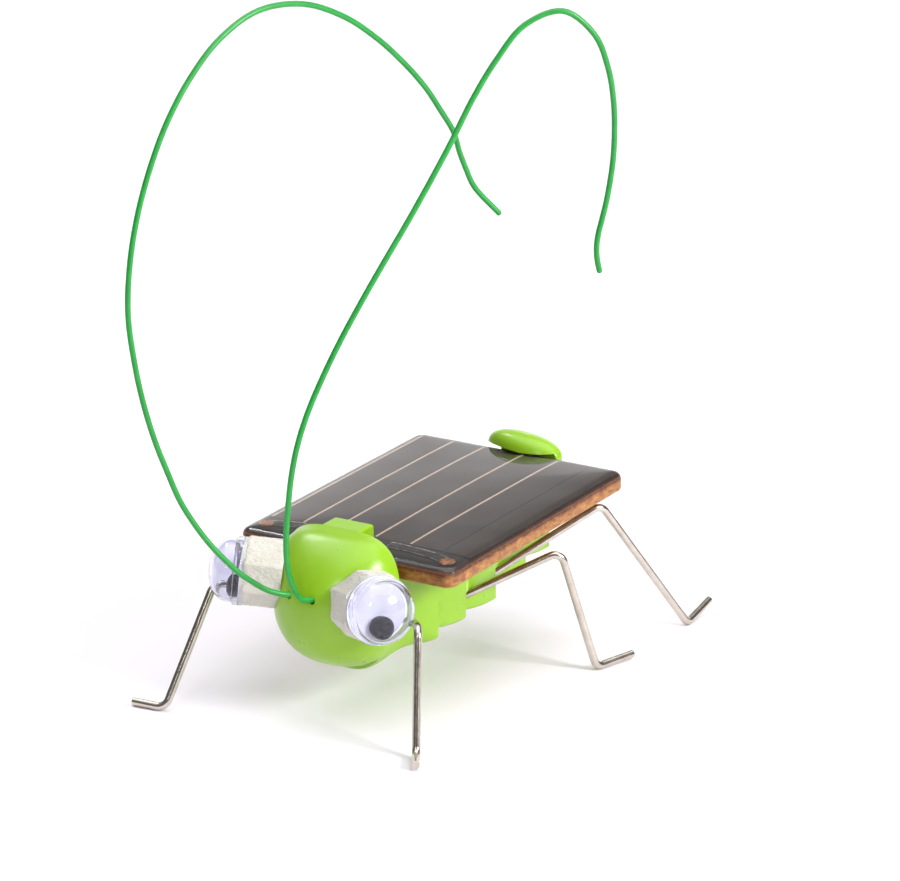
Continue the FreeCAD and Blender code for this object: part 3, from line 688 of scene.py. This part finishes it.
def strip_mesh(name):
    """A bus strip: thin, slightly buckled foil with pale curled edges."""
    line = smooth_line([(x, y, 0) for x, y in STRIP_LINES[name]], 14)
    cross_steps = 12
    points = []
    for level in (0, 1):
        for row in range(cross_steps + 1):
            across = 2 * row / cross_steps - 1
            for index, middle in enumerate(line):
                along = line[min(index + 1, len(line) - 1)] - line[max(index - 1, 0)]
                aside = Vector((-along.y, along.x, 0)).normalized()
                half = STRIP_HALF + 0.04 * ripple((middle.x, across, 0), 1.1, 2)
                spot = middle + aside * across * half
                rim = (1 - abs(across)) * STRIP_HALF
                lift = 0.07 * math.exp(-rim / 0.08) + 0.03 * (1 + ripple((spot.x, spot.y, 0), 0.9))
                points.append((spot.x, spot.y, 0.22 + lift + (0.06 if level else 0.0)))
    count = len(points) // 2
    wide = len(line)
    faces = []
    edge_faces = set()
    for row in range(cross_steps):
        for column in range(wide - 1):
            a = row * wide + column
            quad = (a, a + 1, a + wide + 1, a + wide)
            if row in (0, cross_steps - 1) or column in (0, wide - 2):
                edge_faces.add(len(faces) + 1)
            faces.append(quad)
            faces.append(tuple(count + index for index in reversed(quad)))
    rim = list(range(wide))
    rim += [row * wide + wide - 1 for row in range(1, cross_steps + 1)]
    rim += [cross_steps * wide + column for column in range(wide - 2, -1, -1)]
    rim += [row * wide for row in range(cross_steps - 1, 0, -1)]
    for here, there in zip(rim, rim[1:] + rim[:1]):
        edge_faces.add(len(faces))
        faces.append((here, there, count + there, count + here))
    if name == "left":
        tail_points, tail_faces = tube(smooth_line(WIRE_TAIL, 8), 0.07, 10, 2)
        first = len(points)
        points += tail_points
        faces += [tuple(first + index for index in face) for face in tail_faces]
    return points, faces, (lambda index: 1 if index in edge_faces else 0)


def build_panel(looks):
    points, faces, chooser = board_mesh()
    add_piece("board", points, faces, [looks["edge"], looks["top"]], LEVEL, "root",
              ["panel_board"], chooser)
    points, faces = resin_mesh()
    add_piece("resin_cover", points, faces, [looks["resin"]], LEVEL, "root",
              ["epoxy_cover"], sharp_degrees=80)
    for side in ("left", "right"):
        points, faces, chooser = strip_mesh(side)
        add_piece("bus_foil_" + side, points, faces, [looks["strip"], looks["strip_edge"]], LEVEL, "root",
                  ["bus_strip_" + side], chooser)
        profile = softened([(0, 0.27), (0.4, 0.25), (0.6, 0.17), (0.8, 0.24), (0.98, 0.14), (1.02, 0.02),
                            (0, 0.02)], 0.08)
        points, faces = lathe(profile, 48)
        end_x, end_y = STRIP_LINES[side][-1]
        where = LEVEL @ Matrix.Translation((end_x * 0.955, end_y + 0.45, 0.27))
        add_piece("bus_joint_" + side, points, faces, [looks["copper"]], where, "root",
                  ["bus_solder_" + side])


def build_feelers(looks):
    for side, spots in FEELER_LINES.items():
        outward = (Vector(spots[1]) - Vector(spots[0])).normalized()
        stub = Vector(spots[0]) - outward * FEELER_STUB
        line = [stub, stub.lerp(Vector(spots[0]), 0.5)] + smooth_line(spots, 7)
        points, faces = tube(line, FEELER_RADIUS, 20)
        add_piece("feeler_wire_" + side, points, faces, [looks["feeler"]], Matrix.Identity(4),
                  "feeler_" + side, ["feeler_" + side], sharp_degrees=80)


# ---- eyes ------------------------------------------------------------------------------------
def eye_place(side):
    low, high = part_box("eye_back_" + side)
    centre = (low + high) / 2 / MM
    facing = (Matrix.Rotation(-EYE_TURN, 4, "Z") @ Matrix.Rotation(-EYE_TILT, 4, "Y")
              @ Matrix.Rotation(math.pi / 2, 4, "X") @ Matrix.Rotation(math.pi / 2, 4, "Y"))
    if side == "right":
        facing = Matrix.Scale(-1, 4, (1, 0, 0)) @ facing
    middle = facing @ Vector((0, 0, EYE_PLATE / 2))
    return Matrix.Translation(centre - middle) @ facing


def dome_profile():
    """Clear cap: blown dome, upright wall and a plain flange."""
    outer = quarter_ellipse(EYE_RADIUS, EYE_DOME, EYE_STRAIGHT_TOP)
    flange = softened([(EYE_RADIUS, EYE_STRAIGHT_TOP - 0.2), (EYE_RADIUS, 1.35), (3.95, 1.22),
                       (EYE_FLANGE, 1.16), (EYE_FLANGE, 0.46), (4.10, EYE_PLATE + 0.01),
                       (EYE_RADIUS - EYE_WALL, EYE_PLATE + 0.01), (EYE_RADIUS - EYE_WALL, 0.8)], 0.09)
    inner = quarter_ellipse(EYE_RADIUS - EYE_WALL, EYE_DOME - EYE_WALL, EYE_STRAIGHT_TOP)
    return outer + flange + list(reversed(inner))


def pupil_mesh():
    low = EYE_PLATE + 0.08
    drop = EYE_RADIUS - EYE_WALL - PUPIL_RADIUS - 0.08
    top = low + PUPIL_THICK
    profile = softened([(0, top), (0.28, top - 0.012), (0.34, top - 0.05),
                        (0.42, top - 0.02), (0.85, top - 0.07),
                        (1.16, top - 0.28), (PUPIL_RADIUS, top - 0.62), (PUPIL_RADIUS, low + 0.12),
                        (PUPIL_RADIUS - 0.12, low), (0, low)], 0.14)
    points, faces = lathe(profile, 64)
    return [(x, y - drop, z) for x, y, z in points], faces


def foam_reach(degrees):
    """Distance from the pad's middle to its cut outline in one direction."""
    corners = [Vector((reach * math.cos(math.radians(at)), reach * math.sin(math.radians(at))))
               for at, reach in FOAM_CORNERS]
    ray = Vector((math.cos(math.radians(degrees)), math.sin(math.radians(degrees))))
    best = 0.0
    for here, there in zip(corners, corners[1:] + corners[:1]):
        side = there - here
        cross = ray.x * side.y - ray.y * side.x
        if abs(cross) < 1e-9:
            continue
        reach = (here.x * side.y - here.y * side.x) / cross
        share = (here.x * ray.y - here.y * ray.x) / cross
        if reach > 0 and -1e-6 <= share <= 1 + 1e-6:
            best = max(best, reach)
    return best


def foam_mesh(place, head, seed):
    """The pad: cut edges with torn cells, its inner end lying on the head's curve."""
    around = 300
    levels = 30
    cap_rings = 20
    back = (place.to_3x3() @ Vector((0, 0, -1))).normalized()

    def depth(x, y):
        start = place @ Vector((x, y, 0.0))
        hit = head.ray_cast(start * MM, back, FOAM_DEEP * MM)
        return hit[3] / MM if hit[0] else FOAM_DEEP

    outline = []
    for step in range(around):
        degrees = 360 * step / around
        reach = sum(foam_reach(degrees + shift) for shift in (-1.6, 0, 1.6)) / 3
        outline.append((math.radians(degrees), reach - 0.12))
    ends = [depth(reach * math.cos(angle), reach * math.sin(angle)) for angle, reach in outline]
    points = []
    rings = []

    def add_ring(ring):
        rings.append(list(range(len(points), len(points) + len(ring))))
        points.extend(ring)

    def cap(ring_share, at_front):
        ring = []
        for angle, reach in outline:
            x = reach * ring_share * math.cos(angle)
            y = reach * ring_share * math.sin(angle)
            z = 0.0 if at_front else -depth(x, y) + 0.01
            grain = 0.02 * ripple((x, y, 0), 0.25, seed) * (1 if at_front else 0)
            ring.append((x, y, z - abs(grain)))
        return ring

    rings.append([0])
    points.append((0, 0, 0))
    for step in range(1, cap_rings):
        add_ring(cap(step / cap_rings, True))
    for level in range(levels + 1):
        share = level / levels
        ring = []
        for (angle, reach), end in zip(outline, ends):
            z = -end * share
            spot = (reach * math.cos(angle), reach * math.sin(angle), z)
            tear = 0.085 * ripple(spot, 0.28, seed) + 0.05 * ripple(spot, 0.13, seed + 3)
            tear += 0.07 * ripple((spot[0], spot[1], z * 0.4), 1.1, seed + 7)
            round_off = 0.10 * max(0.0, 1 - min(share, 1 - share) * levels / 1.5)
            radius = reach + tear - round_off
            ring.append((radius * math.cos(angle), radius * math.sin(angle), z))
        add_ring(ring)
    for step in range(cap_rings - 1, 0, -1):
        add_ring(cap(step / cap_rings, False))
    rings.append([len(points)])
    points.append((0, 0, -depth(0, 0) + 0.01))
    return points, rings_to_faces(rings, around)


def build_eyes(looks):
    head_node = NODES["head_shell"].data
    head = BVHTree.FromPolygons([vertex.co[:] for vertex in head_node.vertices],
                                [tuple(polygon.vertices) for polygon in head_node.polygons])
    for side in ("left", "right"):
        place = eye_place(side)
        points, faces = lathe(dome_profile(), 128)
        add_piece("eye_cap_" + side, points, faces, [looks["clear"]], place, "root",
                  ["eye_dome_" + side], sharp_degrees=50)
        points, faces = pupil_mesh()
        add_piece("pupil_disc_" + side, points, faces, [looks["black"]], place, "pupil_" + side,
                  ["pupil_" + side])
        points, faces = foam_mesh(place, head, 11.0 if side == "left" else 23.0)
        pad = add_piece("foam_block_" + side, points, faces, [looks["foam"]], place, "root",
                        ["foam_pad_" + side], sharp_degrees=60)


# ---- carried-over nodes ----------------------------------------------------------------------
def dress(material, *names):
    for name in names:
        node = NODES[name]
        if not node.material_slots:
            node.data.materials.append(None)
        for material_slot in node.material_slots:
            material_slot.link = "OBJECT"
            material_slot.material = material


def dress_nodes(looks):
    dress(looks["green"], "body_shell", "head_shell")
    dress(looks["wire"], *["leg_%s_%s" % (which, side) for which in ("front", "middle", "rear")
                           for side in ("left", "right")])
    dress(looks["silicon"], "solar_cells")
    dress(looks["lines"], "cell_contact_lines")
    dress(looks["white"], "eye_back_left", "eye_back_right")
    steel = simple_look("motor_steel", (0.48, 0.48, 0.49), (0.68, 0.68, 0.69), 0.3, 1.0)
    bronze = simple_look("bronze", (0.42, 0.26, 0.10), (0.66, 0.46, 0.20), 0.38, 1.0)
    dress(steel, "motor_can")
    dress(bronze, "motor_bush", "motor_brushes")
    dress(simple_look("magnet", (0.06, 0.06, 0.065), (0.14, 0.14, 0.15), 0.6), "motor_magnet")
    dress(simple_look("copper_winding", (0.42, 0.15, 0.06), (0.72, 0.33, 0.14), 0.35, 0.9), "motor_coil")
    dress(simple_look("white_nylon", (0.74, 0.73, 0.68), (0.86, 0.85, 0.81), 0.5), "motor_end_cap")
    dress(simple_look("shaft_steel", (0.6, 0.6, 0.61), (0.8, 0.8, 0.81), 0.16, 1.0), "motor_shaft")
    dress(simple_look("weight_metal", (0.36, 0.35, 0.33), (0.55, 0.54, 0.51), 0.42, 1.0), "eccentric_weight")
    dress(simple_look("red_insulation", (0.48, 0.02, 0.015), (0.66, 0.04, 0.03), 0.4), "lead_wire_red")
    dress(simple_look("black_insulation", (0.012, 0.012, 0.013), (0.03, 0.03, 0.032), 0.4),
          "lead_wire_black")
    dress(simple_look("solder", (0.45, 0.45, 0.46), (0.7, 0.7, 0.7), 0.28, 1.0), "lead_solder_joints")


# ---- studio ----------------------------------------------------------------------------------
LAMP_AIM = Vector((0, 0, 0.02))


def area_light(name, place, size, power, colour=(1, 1, 1)):
    data = bpy.data.lights.new(name, "AREA")
    data.shape = "RECTANGLE"
    data.size, data.size_y = size
    data.energy = power
    data.color = colour
    lamp = bpy.data.objects.new(name, data)
    bpy.context.scene.collection.objects.link(lamp)
    lamp.location = place
    lamp.rotation_euler = (LAMP_AIM - Vector(place)).to_track_quat("-Z", "Y").to_euler()
    return lamp


def make_studio():
    mesh = bpy.data.meshes.new("floor")
    mesh.from_pydata([(-3, -3, 0), (3, -3, 0), (3, 3, 0), (-3, 3, 0)], [], [(0, 1, 2, 3)])
    floor = bpy.data.objects.new("floor", mesh)
    bpy.context.scene.collection.objects.link(floor)
    look = Look("floor_white", (0.92, 0.92, 0.92), 0.6, Specular_IOR_Level=0.2)
    # painted counter-tint: the floor is faintly lavender so the green light the body bounces into its
    # shadows reads grey
    look.link(look.ramp(look.noise(40.0, 2.0), (0.3, (0.90, 0.865, 0.93)), (0.7, (0.92, 0.885, 0.95))),
              "Base Color")
    mesh.materials.append(look.material)

    world = bpy.data.worlds.new("studio")
    world.use_nodes = True
    bpy.context.scene.world = world
    tree = world.node_tree
    background = tree.nodes["Background"]
    direction = tree.nodes.new("ShaderNodeTexCoord").outputs["Generated"]

    def graded(value, *stops):
        ramp = tree.nodes.new("ShaderNodeValToRGB")
        tree.links.new(value, ramp.inputs["Fac"])
        elements = ramp.color_ramp.elements
        while len(elements) < len(stops):
            elements.new(0.5)
        for element, (position, grey) in zip(elements, stops):
            element.position = position
            element.color = (grey, grey, grey, 1.0)
        return ramp.outputs["Color"]

    split = tree.nodes.new("ShaderNodeSeparateXYZ")
    tree.links.new(direction, split.inputs["Vector"])
    towards = tree.nodes.new("ShaderNodeVectorMath")
    towards.operation = "DOT_PRODUCT"
    towards.inputs[1].default_value = (-0.56, 0.83, 0.0)
    tree.links.new(direction, towards.inputs[0])
    room = graded(split.outputs["Z"], (0.0, 0.10), (0.3, 0.12), (0.5, 0.16), (0.75, 0.45), (1.0, 0.9))
    wall_height = graded(split.outputs["Z"], (0.0, 1.3), (0.26, 1.3), (0.36, 0.85), (0.45, 0.25), (0.6, 0.0))
    wall_width = graded(towards.outputs["Value"], (0.62, 0.0), (0.93, 1.0))
    wall = tree.nodes.new("ShaderNodeMix")
    wall.data_type = "RGBA"
    wall.blend_type = "MULTIPLY"
    wall.inputs["Factor"].default_value = 1.0
    tree.links.new(wall_height, wall.inputs["A"])
    tree.links.new(wall_width, wall.inputs["B"])
    total = tree.nodes.new("ShaderNodeMix")
    total.data_type = "RGBA"
    total.blend_type = "ADD"
    total.inputs["Factor"].default_value = 1.0
    tree.links.new(room, total.inputs["A"])
    tree.links.new(wall.outputs["Result"], total.inputs["B"])
    tree.links.new(total.outputs["Result"], background.inputs["Color"])
    background.inputs["Strength"].default_value = 1.0

    area_light("overhead", (0.05, 0.05, 0.75), (1.0, 1.0), 4.7)
    area_light("window_right", (0.70, 0.0, 0.36), (0.26, 0.22), 6.5, (1.0, 0.99, 0.98))
    area_light("window_front", (0.18, -0.68, 0.40), (0.12, 0.14), 0.7, (1.0, 0.98, 0.95))
    area_light("window_left", (-0.48, 0.22, 0.60), (0.14, 0.14), 0.7, (0.98, 0.99, 1.0))
    view = bpy.context.scene.view_settings
    view.view_transform = "Standard"
    view.look = "None"
    view.exposure = 0.0
    view.gamma = 1.0


def main():
    make_camera()
    looks = {
        "green": green_plastic(),
        "edge": laminate_edge(),
        "top": laminate_top(),
        "silicon": silicon(),
        "lines": contact_silver(),
        "strip": strip_metal(),
        "strip_edge": strip_edge(),
        "copper": copper_pad(),
        "resin": clear_resin(),
        "clear": clear_plastic(),
        "white": white_plastic(),
        "black": black_plastic(),
        "foam": foam_look(),
        "wire": nickel_wire(),
        "feeler": feeler_coating(),
    }
    build_panel(looks)
    build_eyes(looks)
    build_feelers(looks)
    dress_nodes(looks)
    make_studio()


main()
